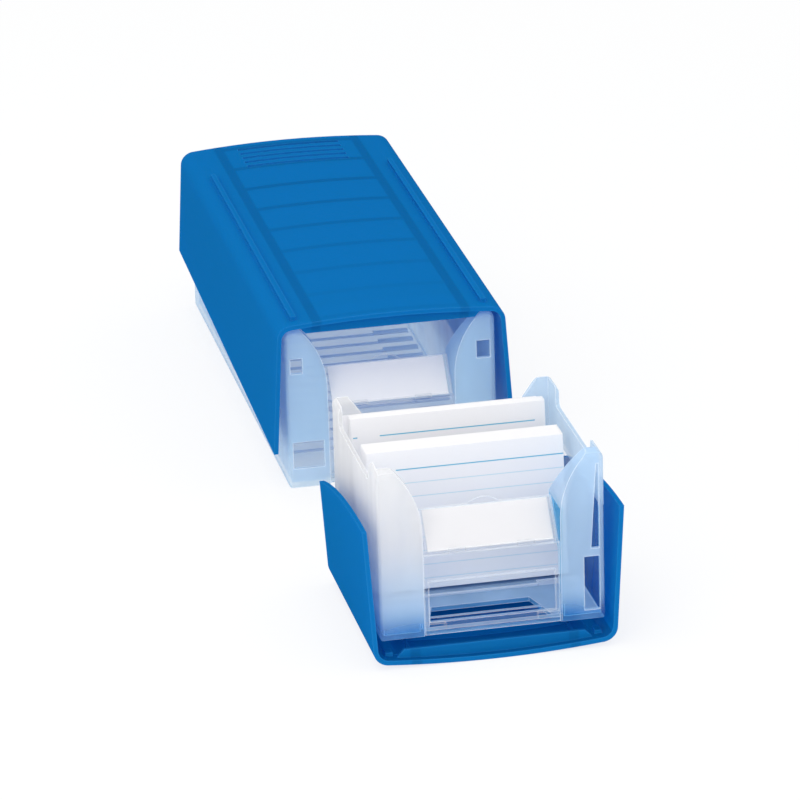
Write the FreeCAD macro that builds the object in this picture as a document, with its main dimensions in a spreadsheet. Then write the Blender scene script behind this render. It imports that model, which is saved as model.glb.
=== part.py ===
# Card index set for A8 cards: a long box under its cover, and a short box that stands
# in its own upturned cover. Each box is a frosted tray with a clipped-in front panel,
# a label slip behind a clear window, and a backing plate that slides along the floor.
#
# Frame: +Z up, the fronts face -Y, the two boxes lie in line along Y. The origin is the
# centre of the footprint on the table. Each tray is drawn from its own front, bottom and
# middle; each cover is drawn closed over such a tray and is then set in its place.
import FreeCAD, Part
import Sketcher
import math
import os
import re

SIZES = [
    ("tray_width", 84.0, "outside width of both trays"),
    ("tray_wall", 1.5, "side, rear and wing thickness"),
    ("tray_floor", 1.8, "floor thickness"),
    ("tray_edge_round", 1.2, "outside bottom and upright edges"),
    ("long_tray_length", 220.0, "front to rear of the long tray"),
    ("short_tray_length", 82.0, "front to rear of the short tray"),
    ("wall_height", 57.5, "top of the side walls"),
    ("post_height", 65.7, "top of the four corner posts"),
    ("post_shoulder", 3.0, "round on the outer top of each post"),
    ("front_post_reach", 14.5, "front post along the side wall"),
    ("rear_post_reach", 13.0, "rear post along the side wall"),
    ("post_round", 3.0, "rounds where a post meets the wall top"),
    ("rear_land", 5.5, "flat top of a rear post across the rear wall"),
    ("rear_dip_height", 46.0, "bottom of the finger dip in the rear wall"),
    ("rear_dip_lean", 14.0, "sideways run of the dip's sloping edge"),
    ("holder_side_gap", 1.05, "play between the label window and either wing"),
    ("swoop_radius", 35.0, "curve of the wing's inner edge"),
    ("swoop_drop", 25.0, "height over which the wing narrows"),
    ("return_wall", 1.3, "flange that turns back from the wing's edge"),
    ("return_foot", 4.0, "flange depth beside the lower panel"),
    ("return_belly", 19.0, "flange depth at the label's top"),
    ("return_belly_height", 45.0, "height of the deepest point"),
    ("return_head", 5.0, "flange depth at the top of the post"),
    ("return_sweep", 60.0, "curve of the flange's rear edge"),
    ("rib_pitch", 10.0, "spacing of floor ribs and detent teeth"),
    ("rib_first", 28.0, "first rib from the front"),
    ("rib_rear_margin", 12.0, "ribless end before the rear wall"),
    ("rib_rise", 0.6, "height of the floor ribs"),
    ("rib_thick", 0.9, "thickness of a floor rib"),
    ("tooth_rise", 0.9, "height of the detent teeth"),
    ("tooth_length", 3.6, "length of one tooth along the box"),
    ("track_width", 16.0, "width of the toothed track"),
    ("floor_window_front", 45.0, "floor opening, width at the front"),
    ("floor_window_rear", 33.0, "floor opening, width at the rear"),
    ("floor_window_start", 4.6, "floor opening, distance from the front"),
    ("floor_window_depth", 15.0, "floor opening, front to rear"),
    ("floor_window_bar", 1.2, "bar across the floor opening"),
    ("floor_window_bar_place", 6.75, "that bar behind the opening's front edge"),
    ("panel_gap", 0.3, "play of the front panel between the wings"),
    ("panel_wall", 1.5, "front panel thickness"),
    ("panel_setback", 0.3, "panel behind the wings' front face"),
    ("panel_lift", 0.6, "panel's lower edge above the tray's bottom"),
    ("ledge_height", 31.0, "underside of the ledge below the label"),
    ("ledge_wall", 1.0, "ledge thickness"),
    ("ledge_depth", 2.1, "ledge in front of the label"),
    ("label_lean", 38.0, "label leans back from upright, degrees"),
    ("label_width", 46.5, "label slip"),
    ("label_height", 16.0, "label slip"),
    ("label_thick", 0.4, "label slip"),
    ("label_play", 0.2, "play of the slip in its holder"),
    ("back_margin", 0.6, "leaning back above the slip"),
    ("holder_wall", 0.9, "label window thickness"),
    ("holder_rim", 1.0, "label window's side rims"),
    ("lug_width", 13.0, "thumb lug above the label"),
    ("lug_rise", 2.8, "thumb lug above the label"),
    ("view_frame", 1.7, "panel at either side of its opening"),
    ("view_sill", 5.4, "lower edge of that opening"),
    ("view_head", 21.3, "upper edge of that opening"),
    ("snap_width", 6.5, "snap tab in front of the label's foot"),
    ("snap_centre", 12.8, "snap tab, from the middle"),
    ("snap_rise", 1.8, "snap tab height"),
    ("snap_thick", 0.8, "snap tab thickness"),
    ("clip_width", 8.0, "clip that holds the panel on the floor"),
    ("clip_reach", 2.4, "clip along the floor"),
    ("clip_thick", 2.2, "clip height"),
    ("cover_wall", 1.6, "cover thickness"),
    ("cover_top", 71.2, "top of the crown above the tray's bottom"),
    ("crown_radius", 302.0, "curve of the crown across the box"),
    ("cover_play", 0.1, "cover beside the posts, where side and crown meet"),
    ("skirt_flare", 3.1, "the sides spread toward their lower edge"),
    ("shoulder_round", 6.0, "outside round between side and crown"),
    ("skirt_height", 16.5, "lower edge at the front rim"),
    ("long_skirt_rise", 9.0, "the long cover's edge rises to the rear"),
    ("short_skirt_rise", 13.6, "the short cover's edge rises to the rear"),
    ("rim_overhang", 4.0, "cover in front of the tray"),
    ("valance_setback", 2.6, "valance behind the rim"),
    ("valance_drop", 6.8, "valance below the crown's top"),
    ("valance_half", 35.0, "half length of the valance"),
    ("valance_corner", 2.4, "cut corners of the valance"),
    ("rib_wall", 1.1, "thickness of the ribs under the crown"),
    ("rib_drop", 4.0, "under-crown ribs, below the crown's top"),
    ("rib_half", 29.0, "the two lengthwise ribs, from the middle"),
    ("cross_rib_pitch", 27.0, "spacing of the cross ribs"),
    ("seat_drop", 9.5, "seat ribs, below the crown's top"),
    ("seat_half", 30.5, "half length of a seat rib"),
    ("seat_inset", 14.0, "seat rib from either end of the tray"),
    ("pad_width", 2.6, "stop pads over the corner posts"),
    ("pad_inset", 0.3, "stop pad inside the post's top"),
    ("rail_half", 36.6, "foot rails, from the middle"),
    ("rail_rear_width", 2.0, "foot rail, rear end"),
    ("rail_front_width", 3.8, "foot rail, front end"),
    ("rail_end_radius", 1.2, "round of the rail's rear end"),
    ("rail_front_gap", 5.5, "rail's front end behind the rim"),
    ("rail_rear_gap", 38.0, "rail's rear end before the cover's rear"),
    ("grip_width", 42.0, "grooves of the finger grip, across the box"),
    ("grip_count", 5, "grooves of the finger grip"),
    ("grip_pitch", 5.7, "spacing of the grooves"),
    ("grip_groove", 2.4, "groove along the box"),
    ("grip_depth", 0.7, "groove below the crown"),
    ("grip_rear_gap", 6.0, "last groove before the cover's rear"),
    ("unit_spacing", 93.0, "from the short box's rear to the long cover's rim"),
    ("plate_width", 76.0, "backing plate"),
    ("plate_height", 42.0, "backing plate"),
    ("plate_wall", 1.5, "backing plate"),
    ("plate_foot", 7.0, "backing plate's foot behind it"),
    ("plate_foot_wall", 1.4, "backing plate's foot"),
    ("plate_dip", 9.0, "finger dip in the plate's top"),
    ("plate_dip_radius", 27.0, "curve of that dip"),
    ("plate_clearance", 0.1, "foot above the teeth"),
    ("long_plate_place", 176.0, "backing plate from the long tray's front"),
    ("short_plate_place", 72.1, "backing plate from the short tray's front"),
    ("card_width", 74.0, "A8 card"),
    ("card_height", 52.0, "A8 card"),
    ("card_thick", 0.25, "A8 card"),
    ("card_pitch", 0.29, "spacing of the cards in a stack"),
    ("card_lean", 6.0, "cards lean back, degrees"),
    ("card_clearance", 0.3, "cards above the teeth"),
    ("front_group_place", 37.5, "front cards' foot from the tray's front"),
    ("front_group_depth", 10.0, "thickness of the front stack"),
    ("rear_group_place", 66.2, "rear cards' foot from the tray's front"),
    ("rear_group_depth", 4.4, "thickness of the rear stack"),
    ("stray_shift", 2.0, "the rearmost card stands to the left"),
    ("card_jog", 0.05, "step by which stacked cards stand off line"),
    ("port_side", 2.0, "wing openings, from the tray's side"),
    ("left_port_width", 4.7, "upper opening in the long tray's left wing"),
    ("left_port_sill", 47.7, "its lower edge"),
    ("left_port_height", 6.3, "its height"),
    ("left_vent_width", 12.4, "lower opening in the long tray's left wing"),
    ("left_vent_sill", 8.0, "its lower edge"),
    ("left_vent_height", 11.0, "its height"),
    ("right_port_width", 5.5, "opening in the long tray's right wing"),
    ("right_port_sill", 43.3, "its lower edge"),
    ("right_port_height", 11.0, "its height"),
    ("low_port_width", 5.8, "lower opening in the short tray's right wing"),
    ("low_port_sill", 4.0, "its lower edge"),
    ("low_port_height", 21.0, "its height"),
    ("slot_foot_width", 3.1, "tapered slot above that opening"),
    ("slot_head_width", 0.9, "its upper end"),
    ("slot_sill", 28.0, "its lower edge"),
    ("slot_head", 61.0, "its top"),
    ("past", 1.0, "cutters run on past what they cut"),
]
ALIASES = {alias for alias, value, note in SIZES}
NEAR = 1e-3  # mm, for telling edges apart

# What fits another piece takes its size from that piece.
HOLDER_WIDTH = "(label_width + 2 * label_play + 2 * holder_rim)"
MOUTH_WIDTH = f"({HOLDER_WIDTH} + 2 * holder_side_gap)"
WING_WIDTH = f"((tray_width - {MOUTH_WIDTH}) / 2)"
SHOULDER_HALF = "(tray_width / 2 + cover_wall + cover_play)"
SKIRT_HALF = f"({SHOULDER_HALF} + skirt_flare)"

doc = FreeCAD.newDocument("card_index")
sheet = doc.addObject("Spreadsheet::Sheet", "sizes")
for row, (alias, value, note) in enumerate(SIZES, start=1):
    sheet.set(f"A{row}", alias)
    sheet.set(f"B{row}", str(value))
    sheet.set(f"C{row}", note)
    sheet.setAlias(f"B{row}", alias)
doc.recompute()

pieces = []


# ---- formulas and places -------------------------------------------------------------

def bind(item, target, formula):
    """Tie a property to a formula in the sheet's aliases."""
    named = re.sub(r"[a-z_]+", lambda m: f"sizes.{m[0]}" if m[0] in ALIASES else m[0], formula)
    item.setExpression(target, named)


def value_of(formula):
    return float(sheet.evalExpression(formula))


def place(item, x="0", y="0", z="0"):
    bind(item, "Placement.Base.x", x)
    bind(item, "Placement.Base.y", y)
    bind(item, "Placement.Base.z", z)
    return item


def named(item, label, x="0", y="0", z="0"):
    """Make an object one of the finished pieces."""
    item.Label = label
    pieces.append(place(item, x, y, z))
    return item


# ---- solids --------------------------------------------------------------------------

def box(x, y, z, length, width, height):
    item = doc.addObject("Part::Box", "box")
    bind(item, "Length", length)
    bind(item, "Width", width)
    bind(item, "Height", height)
    return place(item, x, y, z)


def middle_box(y, z, length, width, height):
    """A box that is centred across the tray."""
    return box(f"-({length}) / 2", y, z, length, width, height)


def rod(x, z, y, radius, length):
    """A cylinder along Y."""
    item = doc.addObject("Part::Cylinder", "rod")
    item.Placement.Rotation = FreeCAD.Rotation(FreeCAD.Vector(1, 0, 0), -90)
    bind(item, "Radius", radius)
    bind(item, "Height", length)
    return place(item, x, y, z)


def fuse(*parts):
    item = doc.addObject("Part::MultiFuse", "fuse")
    item.Shapes = list(parts)
    item.Refine = True
    return item


def cut(base, tool):
    item = doc.addObject("Part::Cut", "cut")
    item.Base = base
    item.Tool = tool
    item.Refine = True
    return item


def grouped(*parts):
    item = doc.addObject("Part::Compound", "group")
    item.Links = list(parts)
    return item


def common(first, second):
    item = doc.addObject("Part::Common", "common")
    item.Base = first
    item.Tool = second
    return item


def mirrored(source):
    """The same shape on the other side of the middle plane."""
    item = doc.addObject("Part::Mirroring", "mirrored")
    item.Source = source
    item.Normal = FreeCAD.Vector(1, 0, 0)
    return item


def both_sides(right):
    return fuse(right, mirrored(right))


# ---- outlines ------------------------------------------------------------------------
# An outline is a list of corners, each a pair of formulas. A third entry bends the edge
# that ends at that corner: a radius formula, which turns left, or right with "-" first.

PLANES = {
    "XY": FreeCAD.Rotation(),
    "XZ": FreeCAD.Rotation(FreeCAD.Vector(1, 0, 0), 90),
    "YZ": FreeCAD.Rotation(FreeCAD.Vector(1, 1, 1), 120),
}


def arc_between(start, end, radius):
    """The short arc from start to end, turning left."""
    chord = end - start
    rise = math.sqrt(max(radius ** 2 - (chord.Length / 2) ** 2, 0))
    left = FreeCAD.Vector(-chord.y, chord.x, 0).normalize()
    centre = (start + end) / 2 + left * rise
    first = math.atan2(start.y - centre.y, start.x - centre.x)
    last = math.atan2(end.y - centre.y, end.x - centre.x)
    circle = Part.Circle(centre, FreeCAD.Vector(0, 0, 1), radius)
    return Part.ArcOfCircle(circle, first, last)


def outline(plane, corners):
    sketch = doc.addObject("Sketcher::SketchObject", "outline")
    sketch.Placement = FreeCAD.Placement(FreeCAD.Vector(), PLANES[plane])
    spots = [FreeCAD.Vector(value_of(c[0]), value_of(c[1]), 0) for c in corners]
    ends = []
    for index, corner in enumerate(corners):
        start, end = spots[index - 1], spots[index]
        bend = corner[2] if len(corner) == 3 else None
        if bend is None:
            edge = sketch.addGeometry(Part.LineSegment(start, end))
            ends.append((edge, 1, 2))
        elif bend.startswith("-"):
            edge = sketch.addGeometry(arc_between(end, start, value_of(bend[1:])))
            ends.append((edge, 2, 1))
        else:
            edge = sketch.addGeometry(arc_between(start, end, value_of(bend)))
            ends.append((edge, 1, 2))
        if bend is not None:
            radius = bend.lstrip("-")
            number = sketch.addConstraint(Sketcher.Constraint("Radius", edge, value_of(radius)))
            bind(sketch, f"Constraints[{number}]", radius)
    for index, (edge, first, last) in enumerate(ends):
        following, its_first, its_last = ends[(index + 1) % len(ends)]
        sketch.addConstraint(Sketcher.Constraint("Coincident", edge, last, following, its_first))
        for axis, formula, spot in (("X", corners[index][0], spots[index].x),
                                    ("Y", corners[index][1], spots[index].y)):
            number = sketch.addConstraint(
                Sketcher.Constraint(f"Distance{axis}", -1, 1, edge, last, spot))
            bind(sketch, f"Constraints[{number}]", formula)
    return sketch


def extruded(plane, corners, start, length):
    """A prism on an outline: along Y from XZ, along X from YZ, upward from XY."""
    sketch = outline(plane, corners)
    item = doc.addObject("Part::Extrusion", "prism")
    item.Base = sketch
    item.DirMode = "Normal"
    item.Solid = True
    item.Reversed = plane == "XZ"
    bind(item, "LengthFwd", length)
    axis = {"XY": "z", "XZ": "y", "YZ": "x"}[plane]
    bind(item, f"Placement.Base.{axis}", start)
    return item


def rounded(base, picks, radius):
    """Round the edges that picks accepts; picks gets an edge's bounding box."""
    doc.recompute()
    item = doc.addObject("Part::Fillet", "rounded")
    item.Base = base
    size = value_of(radius)
    item.Edges = [(number, size, size) for number, edge in enumerate(base.Shape.Edges, start=1)
                  if picks(edge.BoundBox)]
    return item


# ---- tray ----------------------------------------------------------------------------

def tray_envelope(length):
    """The outside of a tray: a block with rounded bottom and upright edges."""
    block = middle_box("0", "0", "tray_width", length, "post_height")
    half = value_of("tray_width") / 2
    height = value_of("post_height")
    span = value_of(length)

    def upright(edge):
        return edge.ZLength > height - NEAR

    def along_bottom(edge):
        return edge.YLength > span - 2 * half and edge.ZMax < NEAR and abs(edge.XMax) > half - NEAR

    def along_top(edge):
        return edge.ZMin > height - NEAR and edge.YLength > NEAR and edge.XLength < NEAR

    soft = rounded(block, lambda e: upright(e) or along_bottom(e), "tray_edge_round")
    return rounded(soft, along_top, "post_shoulder")


def side_wall(length):
    """One side wall with its front and rear post."""
    low, high, turn = "wall_height", "post_height", "post_round"
    rear = f"{length} - rear_post_reach"
    corners = [
        ("0", "0"),
        (length, "0"),
        (length, high),
        (f"{rear} + {turn}", high),
        (rear, f"{high} - {turn}", turn),
        (rear, f"{low} + {turn}"),
        (f"{rear} - {turn}", low, f"-{turn}"),
        (f"front_post_reach + {turn}", low),
        ("front_post_reach", f"{low} + {turn}", f"-{turn}"),
        ("front_post_reach", f"{high} - {turn}"),
        (f"front_post_reach - {turn}", high, turn),
        ("0", high),
    ]
    return extruded("YZ", corners, "tray_width / 2 - tray_wall", "tray_wall")


def rear_wall(length):
    """The rear wall: two posts with a finger dip between them."""
    half = "tray_width / 2"
    land = "(tray_width / 2 - rear_land)"
    foot = "(tray_width / 2 - rear_land - rear_dip_lean)"
    corners = [
        (f"-{half}", "0"),
        (half, "0"),
        (half, "post_height"),
        (land, "post_height"),
        (foot, "rear_dip_height"),
        (f"-{foot}", "rear_dip_height"),
        (f"-{land}", "post_height"),
        (f"-{half}", "post_height"),
    ]
    return extruded("XZ", corners, f"{length} - tray_wall", "tray_wall")


def swoop(inset):
    """Everything outside the wing's curved inner edge, moved outward by inset."""
    edge = f"(tray_width / 2 - {WING_WIDTH} + {inset})"
    knee = "(post_height - swoop_drop)"
    curve = rod(f"{edge} + swoop_radius - {inset}", knee, "-past",
                f"swoop_radius - {inset}", "return_belly + 2 * past")
    foot = box(edge, "-past", "-past", f"{WING_WIDTH} - {inset}", "return_belly + 2 * past",
               f"{knee} + past")
    return fuse(curve, foot)


def wing():
    """The right front wing: a plate, the flange behind its edge, and a cap."""
    edge = f"(tray_width / 2 - {WING_WIDTH})"
    side = [
        ("0", "0"),
        ("return_foot", "0"),
        ("return_foot", "ledge_height - return_foot"),
        ("return_belly", "return_belly_height"),
        ("return_head", "post_height", "-return_sweep"),
        ("0", "post_height"),
    ]
    block = common(extruded("YZ", side, edge, WING_WIDTH), swoop("0"))
    hollow = common(
        box(f"{edge} + return_wall", "tray_wall", "tray_floor",
            f"{WING_WIDTH} - return_wall - tray_wall", "return_belly",
            "post_height - tray_floor - tray_wall"),
        swoop("return_wall"))
    return cut(block, hollow)


def floor_ribs(length):
    """Thin ribs on the left of the floor and teeth on the track in its middle."""
    first = value_of("rib_first")
    last = value_of(f"{length} - rib_rear_margin")
    count = int((last - first) / value_of("rib_pitch")) + 1
    bars = []
    for number in range(count):
        start = f"rib_first + {number} * rib_pitch"
        bars.append(box("tray_wall - tray_width / 2", start, "tray_floor",
                        "tray_width / 2 - tray_wall - track_width / 2", "rib_thick", "rib_rise"))
        tooth = [
            (start, "tray_floor"),
            (f"{start} + tooth_length", "tray_floor"),
            (f"{start} + tooth_length", "tray_floor + tooth_rise"),
            (f"{start} + tooth_length / 2", "tray_floor + tooth_rise"),
        ]
        bars.append(extruded("YZ", tooth, "-track_width / 2", "track_width"))
    return bars


def floor_window():
    """The opening in the floor behind the front panel, with a bar across it."""
    start, depth = "floor_window_start", "floor_window_depth"
    front, rear = "floor_window_front / 2", "floor_window_rear / 2"
    opening = extruded("XY", [
        (f"-{front}", start),
        (front, start),
        (rear, f"{start} + {depth}"),
        (f"-{rear}", f"{start} + {depth}"),
    ], "-past", "tray_floor + 2 * past")
    bar = middle_box(f"{start} + floor_window_bar_place", "-2 * past", "tray_width",
                     "floor_window_bar", "tray_floor + 4 * past")
    return cut(opening, bar)


def port(name, right):
    """A rectangular opening through a wing, near the tray's side."""
    x = f"tray_width / 2 - port_side - {name}_width" if right else "port_side - tray_width / 2"
    return box(x, "-past", f"{name}_sill", f"{name}_width", "tray_wall + 2 * past",
               f"{name}_height")


def tapered_slot():
    """A tall opening through the right wing, straight along the tray's side."""
    outer = "tray_width / 2 - port_side"
    return extruded("XZ", [
        (f"{outer} - slot_foot_width", "slot_sill"),
        (outer, "slot_sill"),
        (outer, "slot_head"),
        (f"{outer} - slot_head_width", "slot_head"),
    ], "-past", "tray_wall + 2 * past")


def tray(label, length, cutters, y, z):
    """A frosted tray: floor, side and rear walls, corner posts and front wings."""
    notch = middle_box("-past", "-past", MOUTH_WIDTH, "past + panel_setback + panel_wall",
                       "tray_floor + 2 * past")
    solids = [
        middle_box("0", "0", "tray_width", length, "tray_floor"),
        both_sides(side_wall(length)),
        rear_wall(length),
        both_sides(wing()),
    ]
    shell = cut(fuse(*solids, *floor_ribs(length)), fuse(floor_window(), notch, *cutters))
    return named(common(shell, tray_envelope(length)), label, "0", y, z)


# ---- front panel, label and label window ---------------------------------------------
# The label's own frame has its foot on the ledge, Y along the slip's thickness and Z up
# its slope; leaning() turns it back and sets it on the ledge.

def leaning(item, label, y, z):
    item.Placement.Rotation = FreeCAD.Rotation(FreeCAD.Vector(1, 0, 0), -value_of("label_lean"))
    return named(item, label, "0", f"{y} + panel_setback + ledge_depth",
                 f"{z} + ledge_height + ledge_wall")


def label_slip(label, y, z):
    slip = middle_box("-label_thick - label_play", "label_play", "label_width", "label_thick",
                      "label_height")
    return leaning(grouped(slip), label, y, z)


def front_panel(label, y, z):
    """The clear insert between the wings: framed opening, ledge and leaning back."""
    width = f"({MOUTH_WIDTH} - 2 * panel_gap)"
    sheet_front = "panel_setback"
    lean_y = "(panel_setback + ledge_depth)"
    ledge_top = "(ledge_height + ledge_wall)"
    run_y = "(label_height + back_margin) * sin(label_lean * 1 deg)"
    run_z = "(label_height + back_margin) * cos(label_lean * 1 deg)"
    back_y = "ledge_wall / cos(label_lean * 1 deg)"
    side = [
        (sheet_front, "panel_lift"),
        (f"{sheet_front} + panel_wall", "panel_lift"),
        (f"{sheet_front} + panel_wall", "ledge_height"),
        (f"{lean_y} + {back_y}", "ledge_height"),
        (f"{lean_y} + {back_y} + ledge_wall * tan(label_lean * 1 deg)", ledge_top),
        (f"{lean_y} + {run_y} + {back_y}", f"{ledge_top} + {run_z}"),
        (f"{lean_y} + {run_y}", f"{ledge_top} + {run_z}"),
        (lean_y, ledge_top),
        (sheet_front, ledge_top),
    ]
    body = extruded("YZ", side, f"-{width} / 2", width)
    opening = middle_box("-past", "view_sill", f"{width} - 2 * view_frame",
                         "panel_setback + panel_wall + 2 * past", "view_head - view_sill")
    snap = box("snap_centre - snap_width / 2", sheet_front, ledge_top, "snap_width",
               "snap_thick", "snap_rise")
    clip = box(f"{width} / 2 - clip_width", f"{sheet_front} + panel_wall", "tray_floor",
               "clip_width", "clip_reach", "clip_thick")
    frame = fuse(cut(body, opening), both_sides(snap), both_sides(clip), thumb_lug())
    return named(frame, label, "0", y, z)


def thumb_lug():
    """The round-topped lug that stands above the middle of the label."""
    arc_radius = "((lug_width / 2)^2 + lug_rise^2) / (2 * lug_rise)"
    disc = doc.addObject("Part::Cylinder", "disc")
    bind(disc, "Radius", arc_radius)
    bind(disc, "Height", "ledge_wall")
    disc.Placement.Rotation = FreeCAD.Rotation(FreeCAD.Vector(1, 0, 0), -90)
    place(disc, "0", "0", f"label_height + back_margin + lug_rise - {arc_radius}")
    above = middle_box("-past", "label_height + label_play", "2 * lug_width",
                       "ledge_wall + 2 * past", "2 * lug_rise")
    lug = common(disc, above)
    lug.Placement.Rotation = FreeCAD.Rotation(FreeCAD.Vector(1, 0, 0), -value_of("label_lean"))
    return place(lug, "0", "panel_setback + ledge_depth", "ledge_height + ledge_wall")


def label_window(label, y, z):
    """The clear cover in front of the slip, with rims that reach the panel."""
    gap = "(label_thick + 2 * label_play)"
    pane = middle_box(f"-{gap} - holder_wall", "label_play", HOLDER_WIDTH, "holder_wall",
                      "label_height")
    rim = box(f"{HOLDER_WIDTH} / 2 - holder_rim", f"-{gap}", "label_play", "holder_rim", gap,
              "label_height")
    return leaning(fuse(pane, both_sides(rim)), label, y, z)


# ---- cover ---------------------------------------------------------------------------

def arch(inset, length):
    """The solid under the crown and between the sides, drawn in by inset."""
    foot_half = f"({SKIRT_HALF} - {inset})"
    eave_half = f"({SHOULDER_HALF} - {inset})"
    eave = (f"(cover_top - {inset} - crown_radius"
            f" + sqrt((crown_radius)^2 - {SHOULDER_HALF}^2))")
    corners = [
        (f"-{foot_half}", f"skirt_height - {inset}"),
        (foot_half, f"skirt_height - {inset}"),
        (eave_half, eave),
        (f"-{eave_half}", eave, f"crown_radius - {inset}"),
    ]
    prism = extruded("XZ", corners, "-rim_overhang", length)
    shoulder = value_of(eave)

    def eaves(edge):
        return edge.YLength > value_of(length) - NEAR and abs(edge.ZMin - shoulder) < NEAR

    return rounded(prism, eaves, f"shoulder_round - {inset}")


def under_crown(length):
    """Ribs, valance, seat ribs and stop pads, all up into the crown."""
    top = "cover_top"
    full = f"({length} + rim_overhang)"
    edge, low = "valance_half", "(cover_top - valance_drop)"
    valance = extruded("XZ", [
        (f"-{edge}", top),
        (f"-{edge}", f"{low} + valance_corner"),
        (f"-{edge} + valance_corner", low),
        (f"{edge} - valance_corner", low),
        (edge, f"{low} + valance_corner"),
        (edge, top),
    ], "valance_setback - rim_overhang", "rib_wall")
    runner = box("rib_half", "valance_setback - rim_overhang", f"{top} - rib_drop", "rib_wall",
                 f"{full} - valance_setback", "rib_drop")
    bars = [valance, both_sides(runner)]
    count = int(value_of(f"{full} - valance_setback - 2 * rib_wall") / value_of("cross_rib_pitch"))
    for number in range(1, count + 1):
        start = f"valance_setback - rim_overhang + {number} * cross_rib_pitch"
        bars.append(middle_box(start, f"{top} - rib_drop", "2 * rib_half + rib_wall", "rib_wall",
                               "rib_drop"))
    for start in ("seat_inset", f"{length} - seat_inset - rib_wall"):
        bars.append(middle_box(start, f"{top} - seat_drop", "2 * seat_half", "rib_wall",
                               "seat_drop"))
    pad_edge = "tray_width / 2 - post_shoulder - pad_width"
    for start in ("pad_inset", f"{length} - return_head + pad_inset"):
        bars.append(both_sides(box(pad_edge, start, "post_height", "pad_width",
                                   "return_head - 2 * pad_inset", f"{top} - post_height")))
    return fuse(*bars)


def foot_rails(length):
    """Two tapered rails, level with the crown: the feet of an upturned cover."""
    front = "rail_front_gap - rim_overhang"
    rear = f"{length} - rail_rear_gap"
    rail = extruded("XY", [
        ("rail_half - rail_front_width / 2", front),
        ("rail_half + rail_front_width / 2", front),
        ("rail_half + rail_rear_width / 2", rear),
        ("rail_half - rail_rear_width / 2", rear, "rail_end_radius"),
    ], "cover_top - rib_drop", "rib_drop")
    return both_sides(rail)


def finger_grip(length):
    """Shallow grooves across the crown near its rear."""
    bars = [middle_box(f"{length} - grip_rear_gap - grip_groove - {number} * grip_pitch",
                       "cover_top - rib_drop", "grip_width", "grip_groove", "2 * rib_drop")
            for number in range(int(value_of("grip_count")))]
    below = rod("0", "cover_top - crown_radius", "-rim_overhang - past",
                "crown_radius - grip_depth", f"{length} + rim_overhang + 2 * past")
    return cut(fuse(*bars), below)


def cover(label, length, skirt):
    """A sleeve open at both ends, with a crowned top and flared sides."""
    full = f"({length} + rim_overhang)"
    outside = arch("0", full)
    shell = cut(outside, arch("cover_wall", full))
    ribs = cut(common(under_crown(length), outside), skirt)
    body = fuse(cut(shell, skirt), ribs, foot_rails(length))
    return cut(body, finger_grip(length))


def straight_skirt(length):
    """What lies below the long cover's edge, which rises evenly to the rear."""
    return extruded("YZ", [
        ("-rim_overhang - past", "-past"),
        (f"{length} + past", "-past"),
        (f"{length} + past", "skirt_height + long_skirt_rise"),
        ("-rim_overhang - past", "skirt_height"),
    ], f"-{SKIRT_HALF} - past", f"2 * {SKIRT_HALF} + 2 * past")


def curved_skirt(length):
    """What lies below the short cover's edge, which curves up to the rear."""
    reach = f"({length} + rim_overhang + past)"
    radius = f"(({reach})^2 + short_skirt_rise^2) / (2 * short_skirt_rise)"
    return extruded("YZ", [
        ("-rim_overhang - past", "-past"),
        (f"{length} + past", "-past"),
        (f"{length} + past", "skirt_height + short_skirt_rise"),
        ("-rim_overhang", "skirt_height", f"-{radius}"),
        ("-rim_overhang - past", "skirt_height"),
    ], f"-{SKIRT_HALF} - past", f"2 * {SKIRT_HALF} + 2 * past")


# ---- backing plate and cards ---------------------------------------------------------

def backing_plate(label, y, z):
    """A leaning plate with a finger dip, on a foot that runs over the teeth."""
    upright = middle_box("0", "0", "plate_width", "plate_wall", "plate_height")
    dip = rod("0", "plate_height + plate_dip_radius - plate_dip", "-past", "plate_dip_radius",
              "plate_wall + 2 * past")
    leaf = cut(upright, dip)
    leaf.Placement.Rotation = FreeCAD.Rotation(FreeCAD.Vector(1, 0, 0), -value_of("card_lean"))
    foot = middle_box("plate_wall / 2", "0", "track_width", "plate_foot", "plate_foot_wall")
    rest = f"{z} + tray_floor + tooth_rise + plate_clearance"
    below = middle_box("-plate_foot", "-plate_foot", "tray_width", "3 * plate_foot",
                       "plate_foot")
    return named(cut(fuse(leaf, foot), below), label, "0", y, rest)


def card(x, y):
    """One card of a leaning group, its foot level with the first card's foot."""
    return box(f"{x} - card_width / 2", y, f"({y}) * tan(card_lean * 1 deg)", "card_width",
               "card_thick", "card_height")


def card_group(label, cards, y, z):
    """Cards that stand together, leaning back about the foot of the first."""
    group = grouped(*cards)
    group.Placement.Rotation = FreeCAD.Rotation(FreeCAD.Vector(1, 0, 0), -value_of("card_lean"))
    return named(group, label, "0", y, f"{z} + tray_floor + tooth_rise + card_clearance")


def stack(depth):
    """The plain cards behind a lead card, one behind the other."""
    count = int(value_of(depth) / value_of("card_pitch"))
    jogs = (0, 3, -4, 2, -2, 5, -3)
    return [card(f"{jogs[number % len(jogs)]} * card_jog", f"{number + 1} * card_pitch")
            for number in range(count)]


# ---- the set -------------------------------------------------------------------------

overall = "(short_tray_length + long_tray_length + unit_spacing + 2 * rim_overhang)"
long_front = f"({overall} / 2 - long_tray_length)"
short_front = f"(rim_overhang - {overall} / 2)"
short_base = "seat_drop"

long_ports = [port("left_port", False), port("left_vent", False), port("right_port", True)]
short_ports = [port("low_port", True), tapered_slot()]

tray("long_tray", "long_tray_length", long_ports, long_front, "0")
front_panel("long_front_panel", long_front, "0")
label_slip("long_label_slip", long_front, "0")
label_window("long_label_window", long_front, "0")
backing_plate("long_backing_plate", f"{long_front} + long_plate_place", "0")
named(cover("long_cover", "long_tray_length", straight_skirt("long_tray_length")),
      "long_cover", "0", long_front, "0")

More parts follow.
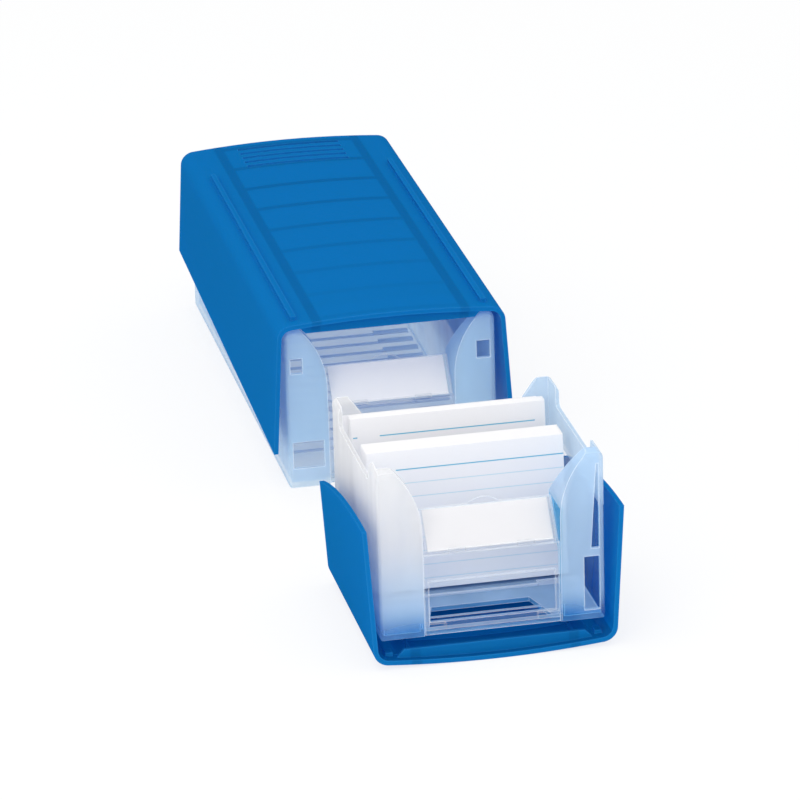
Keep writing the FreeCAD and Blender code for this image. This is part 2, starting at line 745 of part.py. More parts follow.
tray("short_tray", "short_tray_length", short_ports, short_front, short_base)
front_panel("short_front_panel", short_front, short_base)
label_slip("short_label_slip", short_front, short_base)
label_window("short_label_window", short_front, short_base)
backing_plate("short_backing_plate", f"{short_front} + short_plate_place", short_base)
upturned = cover("short_cover", "short_tray_length", curved_skirt("short_tray_length"))
upturned.Placement.Rotation = FreeCAD.Rotation(FreeCAD.Vector(0, 1, 0), 180)
named(upturned, "short_cover", "0", short_front, "cover_top")

front_foot = f"{short_front} + front_group_place"
rear_foot = f"{short_front} + rear_group_place"
card_group("front_lead_card", [card("0", "0")], front_foot, short_base)
card_group("front_card_stack", stack("front_group_depth"), front_foot, short_base)
card_group("rear_lead_card", [card("0", "0")], rear_foot, short_base)
card_group("rear_card_stack", stack("rear_group_depth"), rear_foot, short_base)
card_group("rear_stray_card", [card("-stray_shift", "rear_group_depth + 2 * card_pitch")],
           rear_foot, short_base)


# ---- checks and files ----------------------------------------------------------------

doc.recompute()
for item in doc.Objects:
    if "Invalid" in item.State or "Error" in item.State:
        raise RuntimeError(f"{item.Label} did not recompute: {item.State}")
for piece in pieces:
    if piece.Shape.isNull() or not piece.Shape.isValid():
        raise RuntimeError(f"{piece.Label} has no valid shape")

os.makedirs("parts", exist_ok=True)
for piece in pieces:
    piece.Shape.exportStep(f"parts/{piece.Label}.step")
    bounds = piece.Shape.BoundBox
    print(f"{piece.Label:22s} {len(piece.Shape.Solids):3d} solids {piece.Shape.Volume:10.1f} mm3  "
          f"x {bounds.XMin:7.2f} {bounds.XMax:7.2f}  y {bounds.YMin:8.2f} {bounds.YMax:8.2f}  "
          f"z {bounds.ZMin:6.2f} {bounds.ZMax:6.2f}")
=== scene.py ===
import math
import bpy
from mathutils import Matrix, Vector


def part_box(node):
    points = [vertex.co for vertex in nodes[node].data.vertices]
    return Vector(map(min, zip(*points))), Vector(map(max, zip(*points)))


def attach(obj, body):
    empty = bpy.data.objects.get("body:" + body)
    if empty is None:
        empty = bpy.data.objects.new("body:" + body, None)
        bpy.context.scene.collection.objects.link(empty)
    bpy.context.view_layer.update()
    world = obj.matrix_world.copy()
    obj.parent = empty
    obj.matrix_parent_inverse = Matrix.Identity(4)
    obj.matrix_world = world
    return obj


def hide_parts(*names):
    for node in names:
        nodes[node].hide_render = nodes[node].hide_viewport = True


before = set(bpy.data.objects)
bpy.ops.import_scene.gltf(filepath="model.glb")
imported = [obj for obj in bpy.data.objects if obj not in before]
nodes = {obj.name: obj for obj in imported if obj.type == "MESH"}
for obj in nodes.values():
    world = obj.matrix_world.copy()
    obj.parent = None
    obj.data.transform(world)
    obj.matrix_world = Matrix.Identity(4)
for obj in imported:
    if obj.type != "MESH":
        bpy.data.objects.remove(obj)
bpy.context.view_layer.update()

# ---- the table, the lamps and the camera ----------------------------------------------
# The set stands on a plain white table under one large overhead softbox, with a weaker
# one in front. The table and the sky show white to the eye and keep a faint shadow.

WHITE = (1.0, 1.0, 1.0, 1.0)
TABLE_WHITE = (0.93, 0.94, 0.95, 1.0)
TABLE_HALF = 3.0
TABLE_CORNERS = ((-1, -1), (1, -1), (1, 1), (-1, 1))
SHADOW_KEPT = 0.22
SKY_LEVEL = 0.85


def material(name):
    made = bpy.data.materials.new(name)
    made.use_nodes = True
    made.node_tree.nodes.clear()
    return made


def add(mat, kind, sockets=(), **settings):
    """Adds a shader node. A socket takes a plain value, or the output it is linked to."""
    made = mat.node_tree.nodes.new("ShaderNode" + kind)
    for key, value in settings.items():
        setattr(made, key, value)
    for key, value in dict(sockets).items():
        if isinstance(value, bpy.types.NodeSocket):
            mat.node_tree.links.new(value, made.inputs[key])
        else:
            made.inputs[key].default_value = value
    return made


def calc(mat, operation, *values, clamp=False):
    return add(mat, "Math", dict(enumerate(values)), operation=operation, use_clamp=clamp).outputs[0]


def shader(mat, kind, color, **sockets):
    return add(mat, kind, {"Color": color, **sockets}).outputs[0]


def mix(mat, share, first, second):
    return add(mat, "MixShader", {0: share, 1: first, 2: second}).outputs[0]


def finish(mat, surface):
    add(mat, "OutputMaterial", {"Surface": surface})
    return mat


def seen(mat):
    """1 where the eye, a mirror or clear plastic looks, and 0 for the light itself."""
    path = add(mat, "LightPath").outputs
    either = calc(mat, "MAXIMUM", path["Is Camera Ray"], path["Is Glossy Ray"])
    return calc(mat, "MAXIMUM", either, path["Is Transmission Ray"])


def new_piece(name, shape, paint):
    shape.materials.clear()
    shape.materials.append(paint)
    piece = bpy.data.objects.new(name, shape)
    bpy.context.scene.collection.objects.link(piece)
    return piece


table_white = material("table_white")
matt = shader(table_white, "BsdfDiffuse", TABLE_WHITE)
glow = shader(table_white, "Emission", WHITE, Strength=1.0)
bare = calc(table_white, "MULTIPLY", seen(table_white), 1 - SHADOW_KEPT)
finish(table_white, mix(table_white, bare, matt, glow))
table_mesh = bpy.data.meshes.new("table_top")
table_mesh.from_pydata([(x * TABLE_HALF, y * TABLE_HALF, 0) for x, y in TABLE_CORNERS], [], [(0, 1, 2, 3)])
table = new_piece("table_top", table_mesh, table_white)

sky = bpy.data.worlds.new("studio")
sky.use_nodes = True
sky.node_tree.nodes.clear()
level = calc(sky, "MAXIMUM", seen(sky), SKY_LEVEL)
add(sky, "OutputWorld", {"Surface": shader(sky, "Background", WHITE, Strength=level)})
bpy.context.scene.world = sky


def softbox(name, place, target, size, watts):
    lamp = bpy.data.lights.new(name, "AREA")
    lamp.shape = "SQUARE"
    lamp.size = size
    lamp.energy = watts
    box = bpy.data.objects.new(name, lamp)
    box.location = place
    box.rotation_euler = (Vector(target) - Vector(place)).to_track_quat("-Z", "Y").to_euler()
    bpy.context.scene.collection.objects.link(box)


softbox("softbox_top", place=(-0.25, -0.15, 1.3), target=(0, 0, 0), size=1.0, watts=5)
softbox("softbox_front", place=(-0.7, -1.2, 0.6), target=(0, -0.1, 0.03), size=0.8, watts=5.5)

# the camera has AIM_POINT at AIM_SEEN: metres to its right, above it and ahead of it
CAMERA_LENS = 239.3
CAMERA_TURN, CAMERA_PITCH, CAMERA_ROLL = -0.196, 0.3665, -0.0294
AIM_POINT = Vector((0, -0.0185, 0))
AIM_SEEN = Vector((-0.0022808, -0.0307418, 2.10274))

level_right = Vector((math.cos(CAMERA_TURN), math.sin(CAMERA_TURN), 0))
ahead = Vector((-math.sin(CAMERA_TURN) * math.cos(CAMERA_PITCH),
                math.cos(CAMERA_TURN) * math.cos(CAMERA_PITCH), -math.sin(CAMERA_PITCH)))
level_up = level_right.cross(ahead)
right = level_right * math.cos(CAMERA_ROLL) + level_up * math.sin(CAMERA_ROLL)
up = level_up * math.cos(CAMERA_ROLL) - level_right * math.sin(CAMERA_ROLL)
stand = AIM_POINT - (right * AIM_SEEN.x + up * AIM_SEEN.y + ahead * AIM_SEEN.z)
eye = bpy.data.cameras.new("camera")
eye.lens = CAMERA_LENS
eye.clip_end = 20
camera = bpy.data.objects.new("camera", eye)
camera.matrix_world = Matrix.Translation(stand) @ Matrix((right, up, -ahead)).transposed().to_4x4()
bpy.context.scene.collection.objects.link(camera)
bpy.context.scene.camera = camera
bpy.context.scene.view_settings.view_transform = "Standard"


# ---- trays -----------------------------------------------------------------------------
# Both trays are moulded in one piece from frosted polypropylene, 1.5 mm thick. The outside
# is satin, the edges carry a painted highlight, the blue light of the covers round them is
# painted into the haze, and what lies close behind a wall shows through it.

UNITS = ("long", "short")
# read from the solids, to the micrometre
TRAY_BOX = {unit: [[round(side, 6) for side in corner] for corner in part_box(unit + "_tray")]
            for unit in UNITS}
TRAY_FRONT = {unit: TRAY_BOX[unit][0][1] for unit in UNITS}
TRAY_BOTTOM = {unit: TRAY_BOX[unit][0][2] for unit in UNITS}

TRAY_GRAIN = 0.0007
# painted highlight: the white that rounded edges are drawn in, and its share
TRAY_EDGE_HIGHLIGHT, TRAY_EDGE_HIGHLIGHT_SHARE = (0.95, 0.975, 1.0, 1.0), 0.7
TRAY_THROUGH = (0.97, 0.98, 1.0, 1.0)
TRAY_LIT = (0.93, 0.96, 1.0, 1.0)
TRAY_SHINE = 0.15
# the share of the haze that glows with light from behind
HAZE_GLOW = 0.5
# the haze's tint at two heights above the table, with the blue light of the cover round the tray painted
# into it
TRAY_TINTS_WITH_PAINTED_BLUE_LIGHT = {"long": ((0.005, (0.75, 0.89, 0.99, 1)), (0.020, (0.66, 0.87, 1.0, 1))),
              "short": ((0.012, (0.57, 0.77, 0.95, 1)), (0.050, (0.91, 0.905, 0.90, 1)))}
# painted blue light: how much of the upper tint is lost to the lower, bluer one on the right, in full at the
# distance across given below
RIGHT_PAINTED_BLUE_SHARE = {"long": 0.0, "short": 0.85}
RIGHT_PAINTED_BLUE_FULL = 0.03
# how clear a wall is at its foot and above it, and the tint of what shows through the foot: a painted blue
# shade, deepest in the short tray, which stands in the blue cover
FOOT_CLEAR = {"long": 0.45, "short": 0.97}
WALL_CLEAR = {"long": 0.40, "short": 0.42}
FOOT_THROUGH_PAINTED_SHADE = {"long": (0.90, 0.96, 1.0, 1), "short": (0.38, 0.74, 0.96, 1)}
FOOT_RISE = 0.014
FLOOR_CLEAR = 0.30
# below this height the right side lies on the blue cover, and beside the wing what shows through it takes a
# painted blue shade;
# the long tray's side does not, so its limit is under the table
SIDE_CLEAR = 0.97
SIDE_CLEAR_TO = {"long": -1.0, "short": 0.054}
# painted blue shade on what shows through the right side beside the wing
SIDE_THROUGH_PAINTED_SHADE = (0.40, 0.76, 0.94, 1.0)
WING_DEPTH = 0.030
# slow clouds in the haze, drawn out upwards
CLOUD_SCALE, CLOUD_STRETCH, CLOUD_SHARE = 32.0, (2.2, 2.2, 0.7), 0.35
# how squarely a face has to look along an axis to count
SQUARELY = 0.7


def point_of(mat):
    """Across, along and up, in metres."""
    return add(mat, "SeparateXYZ", {0: add(mat, "TexCoord").outputs["Object"]}).outputs


def facing(mat):
    """How far the face looks across, along and up."""
    return add(mat, "SeparateXYZ", {0: add(mat, "NewGeometry").outputs["Normal"]}).outputs


def grains(mat, size):
    """A fine speckle, with grains of the given size in metres."""
    point = add(mat, "TexCoord").outputs["Object"]
    return add(mat, "TexNoise", {"Vector": point, "Scale": 1 / size, "Detail": 3.0}).outputs["Fac"]


def bumpy(mat, height, strength, depth):
    return add(mat, "Bump", {"Height": height, "Strength": strength, "Distance": depth}).outputs[0]


def ramp(mat, value, start, end, first=0.0, last=1.0, kind="LINEAR"):
    """Goes from first to last while value goes from start to end."""
    return add(mat, "MapRange", {"Value": value, "From Min": start, "From Max": end,
                                 "To Min": first, "To Max": last}, interpolation_type=kind).outputs[0]


def blend(mat, share, first, second):
    return add(mat, "MixRGB", {0: share, 1: first, 2: second}).outputs[0]


def above(mat, value, limit):
    return calc(mat, "GREATER_THAN", value, limit)


def below(mat, value, limit):
    return calc(mat, "LESS_THAN", value, limit)


def all_of(mat, first, *others):
    for other in others:
        first = calc(mat, "MULTIPLY", first, other)
    return first


def edge_light(mat, radius, low, high):
    """How far an edge is rounded here: 0 on a flat face, 1 on the corner itself."""
    soft = add(mat, "Bevel", {"Radius": radius}, samples=4).outputs[0]
    hard = add(mat, "NewGeometry").outputs["True Normal"]
    alike = add(mat, "VectorMath", {0: soft, 1: hard}, operation="DOT_PRODUCT").outputs["Value"]
    return ramp(mat, alike, low, high, 1.0, 0.0)


def through_light(mat, surface, tint, share):
    """Lets that share of the lamps' light pass, in the plastic's own tint."""
    shadow = add(mat, "LightPath").outputs["Is Shadow Ray"]
    return mix(mat, calc(mat, "MULTIPLY", shadow, share), surface, shader(mat, "BsdfTransparent", tint))


def haze_with_painted_blue(mat, unit, point, normal):
    """The frosting itself, with the cover's blue light painted into its tint by its height and by how far to
    the right it is.
    """
    (low, low_tint), (high, high_tint) = TRAY_TINTS_WITH_PAINTED_BLUE_LIGHT[unit]
    upper = all_of(mat, ramp(mat, point["Z"], low, high, kind="SMOOTHSTEP"),
                   ramp(mat, point["X"], 0.0, RIGHT_PAINTED_BLUE_FULL, 1.0, 1 - RIGHT_PAINTED_BLUE_SHARE[unit]))
    tint = blend(mat, upper, low_tint, high_tint)
    return mix(mat, HAZE_GLOW, shader(mat, "BsdfDiffuse", tint, Normal=normal),
               shader(mat, "BsdfTranslucent", tint))


def clouds(mat):
    """A little more or less than nothing, changing slowly from place to place."""
    stretched = add(mat, "Mapping", {0: add(mat, "TexCoord").outputs["Object"], 3: CLOUD_STRETCH}).outputs[0]
    noise = add(mat, "TexNoise", {"Vector": stretched, "Scale": CLOUD_SCALE, "Detail": 1.5}).outputs["Fac"]
    return calc(mat, "MULTIPLY", calc(mat, "SUBTRACT", noise, 0.5), CLOUD_SHARE)


def frosted_plastic(unit):
    """White haze in clear plastic, with the blue light of the cover that stands round it painted in."""
    frosted = material(unit + "_frosted_polypropylene")
    normal = bumpy(frosted, grains(frosted, TRAY_GRAIN), strength=0.12, depth=0.0001)
    point, face = point_of(frosted), facing(frosted)
    bottom = TRAY_BOTTOM[unit]
    foot = ramp(frosted, point["Z"], bottom, bottom + FOOT_RISE, 1.0, 0.0, kind="SMOOTHSTEP")
    level_face = above(frosted, calc(frosted, "ABSOLUTE", face["Z"]), SQUARELY)
    right_side = all_of(frosted, above(frosted, calc(frosted, "ABSOLUTE", face["X"]), SQUARELY),
                        below(frosted, point["Z"], SIDE_CLEAR_TO[unit]), above(frosted, point["X"], 0.0))
    by_wing = below(frosted, point["Y"], TRAY_FRONT[unit] + WING_DEPTH)

    clear = ramp(frosted, foot, 0.0, 1.0, WALL_CLEAR[unit], FOOT_CLEAR[unit])
    clear = ramp(frosted, level_face, 0.0, 1.0, clear, FLOOR_CLEAR)
    clear = ramp(frosted, right_side, 0.0, 1.0, clear, SIDE_CLEAR)
    clear = calc(frosted, "ADD", clear, clouds(frosted), clamp=True)
    # painted blue shade on what shows through the foot and the right side
    passed = blend(frosted, foot, TRAY_THROUGH, FOOT_THROUGH_PAINTED_SHADE[unit])
    passed = blend(frosted, all_of(frosted, right_side, by_wing), passed, SIDE_THROUGH_PAINTED_SHADE)
    through = shader(frosted, "BsdfTransparent", passed)
    wall = mix(frosted, clear, haze_with_painted_blue(frosted, unit, point, normal), through)

    gloss = shader(frosted, "BsdfGlossy", WHITE, Roughness=0.3, Normal=normal)
    shine = calc(frosted, "MULTIPLY", add(frosted, "Fresnel", {"IOR": 1.4}).outputs[0], TRAY_SHINE)
    # painted highlight along the rounded edges
    edge = edge_light(frosted, radius=0.0006, low=0.80, high=0.995)
    edge = calc(frosted, "MULTIPLY", edge, TRAY_EDGE_HIGHLIGHT_SHARE)
    wall = mix(frosted, edge, mix(frosted, shine, wall, gloss), shader(frosted, "BsdfDiffuse", TRAY_EDGE_HIGHLIGHT))
    return finish(frosted, through_light(frosted, wall, TRAY_LIT, share=0.8))


def redrawn(node, body, paint, bring):
    """A new piece in a node's own shape, with each point brought to its place on the real one."""
    shape = nodes[node].data.copy()
    for point in shape.vertices:
        bring(point.co)
    piece = new_piece(node + "_outline", shape, paint)
    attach(piece, body)
    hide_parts(node)


CLOSE = 0.0001
TRAY_FLOOR = 0.0018
TRAY_INSIDE = 0.0405
RIB_RISE = 0.0009
# the solid's own ribs lie behind RIBS_START, from the window's front, and under RIBS_TOP
RIBS_START = 0.020
RIBS_TOP = TRAY_FLOOR + 1.05 * RIB_RISE
WINDOW_START, WINDOW_DEPTH, WINDOW_HALF = 0.0046, 0.015, 0.023
WINDOW_DEEPER = 1.2
# how much wider the window is at its front, and how much more at its rear
WINDOW_WIDER, WINDOW_FLARE = 1.02, 0.10
# the lower edge of the opening in the long tray's right wing
SILL_HEIGHT, SILL_UP = 0.0433, 0.0036
SILL_INNER, SILL_DEPTH = 0.033, 0.006


def tray_floor(unit):
    """Clears the floor for the ribs below, and brings the openings to their real size."""
    front, bottom = TRAY_FRONT[unit], TRAY_BOTTOM[unit]

    def bring(point):
        height = point.z - bottom
        along = point.y - front - WINDOW_START
        on_ribs = TRAY_FLOOR < height < RIBS_TOP and along > RIBS_START
        in_floor = height < TRAY_FLOOR + CLOSE and -CLOSE < along < WINDOW_DEPTH + CLOSE
        on_sill = abs(height - SILL_HEIGHT) < CLOSE and point.y < front + SILL_DEPTH
        if on_ribs and abs(point.x) < TRAY_INSIDE + CLOSE:
            point.z = bottom + TRAY_FLOOR
        elif in_floor and abs(point.x) < WINDOW_HALF:
            point.y = front + WINDOW_START + along * WINDOW_DEEPER
            point.x *= WINDOW_WIDER + WINDOW_FLARE * along / WINDOW_DEPTH
        elif unit == "long" and on_sill and point.x > SILL_INNER:
            point.z += SILL_UP
    return bring


frosted_of = {unit: frosted_plastic(unit) for unit in UNITS}
for unit in UNITS:
    redrawn(unit + "_tray", unit + "_box", frosted_of[unit], tray_floor(unit))


# ---- floor ribs and toothed tracks -----------------------------------------------------
# Low ribs run across each tray's floor from its left wall to a toothed track on the right,
# where the backing plate catches. They are moulded in one with the tray, but drawn in a
# lighter white than its haze: painted light on the ribs.

# painted light: the ribs' haze is drawn whiter than the tray's
RIDGE_PAINTED_LIGHTER_WHITE = (0.90, 0.95, 1.0, 1.0)
RIDGE_CLEAR = 0.35
RIB_FIRST, RIB_PITCH, RIB_THICK = 0.0318, 0.01035, 0.0009
TRACK_LEFT, TRACK_RIGHT = 0.02405, 0.03875
TOOTH_LENGTH = 0.0036
# each outline is seen from the side: along the tray, and up from its floor
RIB_OUTLINE = ((0, 0), (RIB_THICK, 0), (RIB_THICK, RIB_RISE), (0, RIB_RISE))
TOOTH_OUTLINE = ((0, 0), (TOOTH_LENGTH, 0), (TOOTH_LENGTH, RIB_RISE), (TOOTH_LENGTH / 2, RIB_RISE))
BARS = ((RIB_OUTLINE, (-TRAY_INSIDE, TRACK_LEFT)), (TOOTH_OUTLINE, (TRACK_LEFT, TRACK_RIGHT)))
BAR_FACES = [(3, 2, 1, 0), (4, 5, 6, 7)] + [(k, (k + 1) % 4, 4 + (k + 1) % 4, 4 + k) for k in range(4)]

ridge = material("frosted_ridge_painted_lighter")
normal = bumpy(ridge, grains(ridge, TRAY_GRAIN), strength=0.12, depth=0.0001)
haze = mix(ridge, HAZE_GLOW, shader(ridge, "BsdfDiffuse", RIDGE_PAINTED_LIGHTER_WHITE, Normal=normal),
           shader(ridge, "BsdfTranslucent", RIDGE_PAINTED_LIGHTER_WHITE))
finish(ridge, mix(ridge, RIDGE_CLEAR, haze, shader(ridge, "BsdfTransparent", TRAY_THROUGH)))

for unit in UNITS:
    points, faces = [], []
    floor = TRAY_BOTTOM[unit] + TRAY_FLOOR
    along = TRAY_FRONT[unit] + RIB_FIRST
    while along < TRAY_BOX[unit][1][1] - RIB_PITCH:
        for outline, ends in BARS:
            faces += [tuple(len(points) + k for k in face) for face in BAR_FACES]
            points += [(x, along + y, floor + z) for x in ends for y, z in outline]
        along += RIB_PITCH
    shape = bpy.data.meshes.new(unit + "_floor_ribs")
    shape.from_pydata(points, [], faces)
    ribs = new_piece(unit + "_floor_ribs", shape, ridge)
    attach(ribs, unit + "_box")


# ---- front panels and label windows ----------------------------------------------------
# Each front panel is clipped in between the wings: polished clear polystyrene with a ledge
# and a leaning back for the label, which stands behind a thin clear window.

CLEAR_TINT = (0.985, 0.99, 1.0, 1.0)
CLEAR_HAZE = 0.015
CLEAR_SHINE = 0.4
# the haze's white, which the rounded edges are also drawn in as a painted highlight, and that highlight's
# share
CLEAR_HAZE_AND_EDGE_HIGHLIGHT, CLEAR_EDGE_HIGHLIGHT_SHARE = (0.95, 0.975, 1.0, 1.0), 0.6


def dress(name, paint):
    nodes[name].data.materials.clear()
    nodes[name].data.materials.append(paint)


clear = material("clear_polystyrene")
pane = shader(clear, "BsdfTransparent", CLEAR_TINT)
gloss = shader(clear, "BsdfGlossy", WHITE, Roughness=0.06)
bright = shader(clear, "BsdfDiffuse", CLEAR_HAZE_AND_EDGE_HIGHLIGHT)
shine = calc(clear, "MULTIPLY", add(clear, "Fresnel", {"IOR": 1.5}).outputs[0], CLEAR_SHINE)
hazy = mix(clear, CLEAR_HAZE, mix(clear, shine, pane, gloss), bright)
# painted highlight along the rounded edges
edge = calc(clear, "MULTIPLY", edge_light(clear, radius=0.0005, low=0.80, high=0.995), CLEAR_EDGE_HIGHLIGHT_SHARE)
finish(clear, mix(clear, edge, hazy, bright))
for name in ("long_front_panel", "long_label_window", "short_front_panel", "short_label_window"):
    dress(name, clear)


# ---- label slips -----------------------------------------------------------------------
# A bare slip of white card stands in each holder, between the leaning back and the window.
# The long box's slip is painted lighter, to make up for the shade of the cover over it, and the short box's
# darker, where the lamps fall full on it.

# painted light: the long slip drawn lighter against the cover's shade, the short one darker under full light
SLIP_WHITES_WITH_PAINTED_LIGHT = {"long": ((0.92, 0.91, 0.91, 1), (0.95, 0.94, 0.94, 1)),
               "short": ((0.83, 0.81, 0.80, 1), (0.87, 0.85, 0.84, 1))}


def paper(mat, tint, height, roughness, strength, depth):
    normal = bumpy(mat, height, strength, depth)
    card = add(mat, "BsdfPrincipled", {"Base Color": tint, "Roughness": roughness, "Normal": normal})
    return finish(mat, card.outputs[0])


for unit in UNITS:
    slip = material(unit + "_label_card")
    speckle = grains(slip, 0.0004)
    tint = blend(slip, speckle, *SLIP_WHITES_WITH_PAINTED_LIGHT[unit])
    dress(unit + "_label_slip", paper(slip, tint, speckle, roughness=0.6, strength=0.2, depth=0.00004))


# ---- backing plates --------------------------------------------------------------------
# A backing plate slides along the toothed track and holds the cards up from behind. It is
# moulded from the same frosted plastic as the trays.

for unit in UNITS:
    dress(unit + "_backing_plate", frosted_of[unit])


# ---- covers ----------------------------------------------------------------------------
# A cover is a sleeve of blue translucent polypropylene with a fine grained outside. One is
# closed over the long tray; the other lies upturned on the table and carries the short one.
# The ribs under the crown show as darker bands of painted shade, and the sides are drawn fuller.

COVER_BODY = {"long": "long_cover", "short": "short_base"}
COVER_BLUE = (0.002, 0.197, 0.482, 1.0)
COVER_GLOW, COVER_GLOW_SHARE = (0.003, 0.36, 0.85, 1.0), 0.34
# painted highlight: the lighter blue that rounded edges are drawn in, and its share
COVER_EDGE_HIGHLIGHT, COVER_EDGE_HIGHLIGHT_SHARE = (0.06, 0.40, 0.80, 1.0), 0.28
COVER_LIT = (0.10, 0.50, 0.95, 1.0)
COVER_SHEEN = 0.006
# two ribs run lengthwise; those across stand between them, and their painted shade fades towards the front
RUNNER_PLACE = 0.02955
COVER_RIB_FIRST, COVER_RIB_PITCH, COVER_RIB_HALF, COVER_RIB_BLUR = -0.00085, 0.027, 0.0015, 0.0008
# painted shade: how dark the ribs' bands are drawn
COVER_RIB_PAINTED_SHADE = 0.80
FADE_FROM, FADE_TO, FADE_LEAST = 0.03, 0.16, 0.3
# the finger grip: five grooves across the crown, counted from the rear, drawn darker in painted shade
GRIP_LAST, GRIP_PITCH, GRIP_GROOVE, GRIP_HALF = 0.0072, 0.0057, 0.0024, 0.0217
GRIP_MIDDLE, GRIP_REACH, GRIP_BLUR = 2 * GRIP_PITCH, 2.4 * GRIP_PITCH, 0.0003
GRIP_PAINTED_SHADE = 0.70
# painted shade on the inner floor of the upturned cover
COVER_FLOOR_PAINTED_SHADE, FLOOR_TOP, FLOOR_FACING = 0.55, 0.014, 0.5
# a face looks inwards where its place across times its direction across is below this
LOOKS_IN = -0.01
COVER_WIDER = 1.0355
CROWN_FLATTER = 0.41
# the shoulders start this share of the way up, and reach the crown after this much more
SHOULDER_FROM, SHOULDER_RISE = 0.5, 0.4
RAIL_PLACE, RAIL_HALF, RAIL_DEPTH = 0.0366, 0.002, 0.0034
RAIL_FRONT, RAIL_REAR = 0.0055, 0.038
RAIL_SLIMMER = 0.58


def near(mat, value, half, blur):
    """1 where value is within half of zero, fading out over blur."""
    return ramp(mat, calc(mat, "ABSOLUTE", value), half, half + blur, 1.0, 0.0)


def shaded(color, share):
    return tuple(part * share for part in color[:3]) + (1,)


def cover_rib_painted_shade(mat, unit, point):
    """Where painted shade marks the ribs under the crown."""
    from_runner = calc(mat, "SUBTRACT", calc(mat, "ABSOLUTE", point["X"]), RUNNER_PLACE)
    from_first = calc(mat, "SUBTRACT", point["Y"], TRAY_FRONT[unit] + COVER_RIB_FIRST)
    from_rib = calc(mat, "PINGPONG", from_first, COVER_RIB_PITCH / 2)
    across = all_of(mat, near(mat, from_rib, COVER_RIB_HALF, COVER_RIB_BLUR),
                    ramp(mat, from_first, FADE_FROM, FADE_TO, FADE_LEAST, 1.0), below(mat, from_runner, 0.0))
    return calc(mat, "MAXIMUM", near(mat, from_runner, COVER_RIB_HALF, COVER_RIB_BLUR), across)


def grip_groove_painted_shade(mat, unit, point):
    """Where the grooves of the finger grip lie, which take a painted shade."""
    from_last = calc(mat, "SUBTRACT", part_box(unit + "_cover")[1][1] - GRIP_LAST, point["Y"])
    from_groove = calc(mat, "PINGPONG", from_last, GRIP_PITCH / 2)
    from_middle = calc(mat, "SUBTRACT", from_last, GRIP_MIDDLE)
    return all_of(mat, near(mat, from_groove, GRIP_GROOVE / 4, GRIP_GROOVE / 4),
                  near(mat, point["X"], GRIP_HALF - GRIP_BLUR, GRIP_BLUR),
                  near(mat, from_middle, GRIP_REACH, GRIP_BLUR))


def blue_plastic(unit):
    blue = material(unit + "_blue_polypropylene")
    normal = bumpy(blue, grains(blue, 0.0008), strength=0.2, depth=0.0001)
    point, face = point_of(blue), facing(blue)
    on_floor = all_of(blue, above(blue, face["Z"], FLOOR_FACING), below(blue, point["Z"], FLOOR_TOP))
    looks_in = below(blue, calc(blue, "MULTIPLY", point["X"], face["X"]), LOOKS_IN)
    edge = calc(blue, "MULTIPLY", edge_light(blue, radius=0.0012, low=0.75, high=0.99), COVER_EDGE_HIGHLIGHT_SHARE)

    # painted shade over the ribs under the crown
    tint = blend(blue, cover_rib_painted_shade(blue, unit, point), COVER_BLUE, shaded(COVER_BLUE, COVER_RIB_PAINTED_SHADE))
    # painted shade in the grip's grooves
    tint = blend(blue, grip_groove_painted_shade(blue, unit, point), tint, shaded(COVER_BLUE, GRIP_PAINTED_SHADE))
    # painted shade on the upturned cover's inner floor
    tint = blend(blue, on_floor, tint, shaded(COVER_BLUE, COVER_FLOOR_PAINTED_SHADE))
    # painted highlight along the rounded edges
    tint = blend(blue, edge, tint, COVER_EDGE_HIGHLIGHT)
    outside = mix(blue, COVER_SHEEN, shader(blue, "BsdfDiffuse", tint, Normal=normal),
                  shader(blue, "BsdfGlossy", WHITE, Roughness=0.5, Normal=normal))
    inside = add(blue, "BsdfPrincipled", {"Base Color": tint, "Roughness": 0.3, "IOR": 1.2}).outputs[0]
    wall = mix(blue, COVER_GLOW_SHARE, mix(blue, looks_in, outside, inside),
               shader(blue, "BsdfTranslucent", COVER_GLOW))
    return finish(blue, through_light(blue, wall, COVER_LIT, share=0.7))


def fuller(unit):
    """Brings the sides out, lifts the shoulders so that the crown lies flatter, and slims the rails."""
    (_, rim, bottom), (_, rear, top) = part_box(unit + "_cover")
    edge, crown = (bottom, top) if unit == "long" else (top, bottom)

    def bring(point):
        on_rail = abs(abs(point.x) - RAIL_PLACE) < RAIL_HALF and abs(point.z - crown) < RAIL_DEPTH
        if on_rail and rim + RAIL_FRONT - CLOSE < point.y < rear - RAIL_REAR + CLOSE:
            slim = RAIL_SLIMMER + (1 - RAIL_SLIMMER) * (point.y - rim) / (rear - rim)
            point.x = math.copysign(RAIL_PLACE + (abs(point.x) - RAIL_PLACE) * slim, point.x)
        point.x *= COVER_WIDER
        share = ((point.z - edge) / (crown - edge) - SHOULDER_FROM) / SHOULDER_RISE
        lift = CROWN_FLATTER * point.x ** 2 * min(max(share, 0), 1)
        point.z += math.copysign(lift, crown - edge)
        point.z = min(max(point.z, bottom), top)
    return bring


for unit, body in COVER_BODY.items():
    redrawn(unit + "_cover", body, blue_plastic(unit), fuller(unit))


# ---- cards -----------------------------------------------------------------------------
# White A8 index cards, 0.25 mm thick, in two groups that lean on the backing plate. The
# first card of each shows its ruling: a darker head line, and paler lines under it.

CARD_WHITES = ((0.90, 0.895, 0.91, 1.0), (0.93, 0.925, 0.935, 1.0))
CARD_LEAN = math.radians(6)
CARD_TALLER = {"front": 1.0325, "rear": 1.0846}
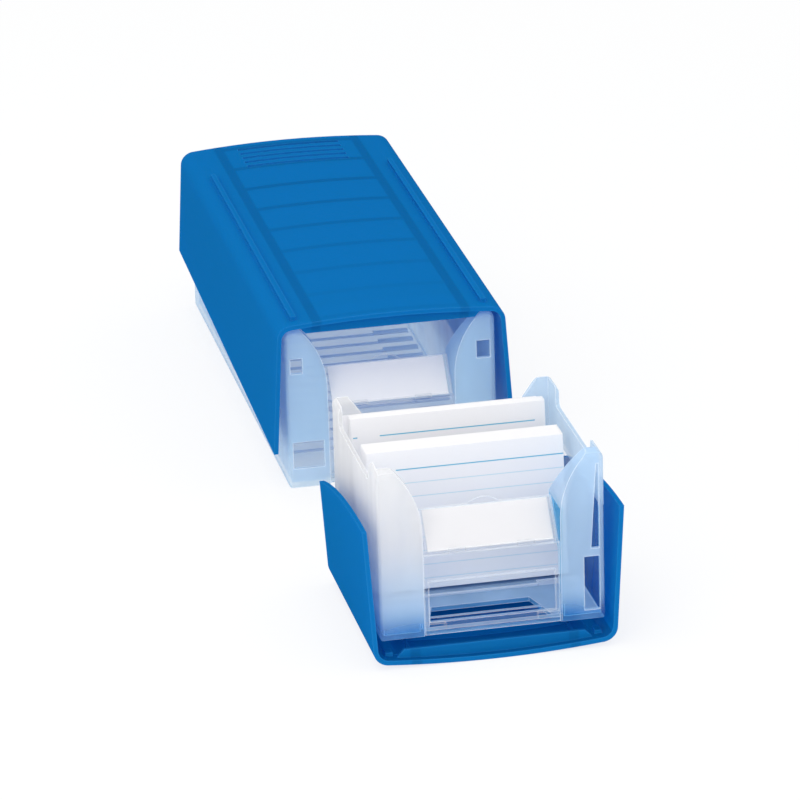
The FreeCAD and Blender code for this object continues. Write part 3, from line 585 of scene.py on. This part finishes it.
# the rulings are measured down from a card's top edge and in from its left
HEAD_BLUE = (0.12, 0.47, 0.68, 1.0)
HEAD_LINE, HEAD_HALF = 0.0073, 0.00018
LINE_BLUE, LINE_SHARE = (0.42, 0.68, 0.80, 1.0), 0.6
LINE_PITCH, LINE_HALF, LINE_BLUR = 0.0053, 0.00013, 0.00008
LINE_START = 0.0108
LINE_SHORT = {"front": 0.0, "rear": 0.004}
TICK_START, TICK_END = 0.0007, 0.0023


def taller(node):
    """Stretches a card up its own lean, from the foot that it stands on."""
    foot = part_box(node)[0][2]
    share = CARD_TALLER[node.split("_")[0]]

    def bring(point):
        more = (point.z - foot) * (share - 1)
        point.z += more
        point.y += more * math.tan(CARD_LEAN)
    return bring


def ruling(mat, tint, group):
    """Prints the head line, with a tick at its left, and the lines under it."""
    low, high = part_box(group + "_lead_card")
    top = low[2] + (high[2] - low[2]) * CARD_TALLER[group]
    point = point_of(mat)
    down = calc(mat, "DIVIDE", calc(mat, "SUBTRACT", top, point["Z"]), math.cos(CARD_LEAN))
    from_head = calc(mat, "SUBTRACT", down, HEAD_LINE)
    from_left = calc(mat, "SUBTRACT", point["X"], low[0])
    on_line = all_of(mat, above(mat, from_left, LINE_START),
                     below(mat, point["X"], high[0] - LINE_SHORT[group]))
    on_tick = all_of(mat, above(mat, from_left, TICK_START), below(mat, from_left, TICK_END))
    from_line = calc(mat, "PINGPONG", from_head, LINE_PITCH / 2)
    lines = all_of(mat, near(mat, from_line, LINE_HALF, LINE_BLUR), on_line,
                   above(mat, down, HEAD_LINE + LINE_PITCH / 2))
    head = all_of(mat, near(mat, from_head, HEAD_HALF, LINE_BLUR), calc(mat, "MAXIMUM", on_line, on_tick))
    tint = blend(mat, calc(mat, "MULTIPLY", lines, LINE_SHARE), tint, LINE_BLUE)
    return blend(mat, head, tint, HEAD_BLUE)


def card_paper(name, ruled_group=None):
    card = material(name)
    speckle = grains(card, 0.0005)
    tint = blend(card, speckle, *CARD_WHITES)
    if ruled_group:
        tint = ruling(card, tint, ruled_group)
    return paper(card, tint, speckle, roughness=0.65, strength=0.15, depth=0.00003)


for group in ("front", "rear"):
    lead = group + "_lead_card"
    redrawn(lead, group + "_cards", card_paper(group + "_ruled_card", group), taller(lead))
plain = card_paper("card_stock")
for name in ("front_card_stack", "rear_card_stack", "rear_stray_card"):
    redrawn(name, name.split("_")[0] + "_cards", plain, taller(name))
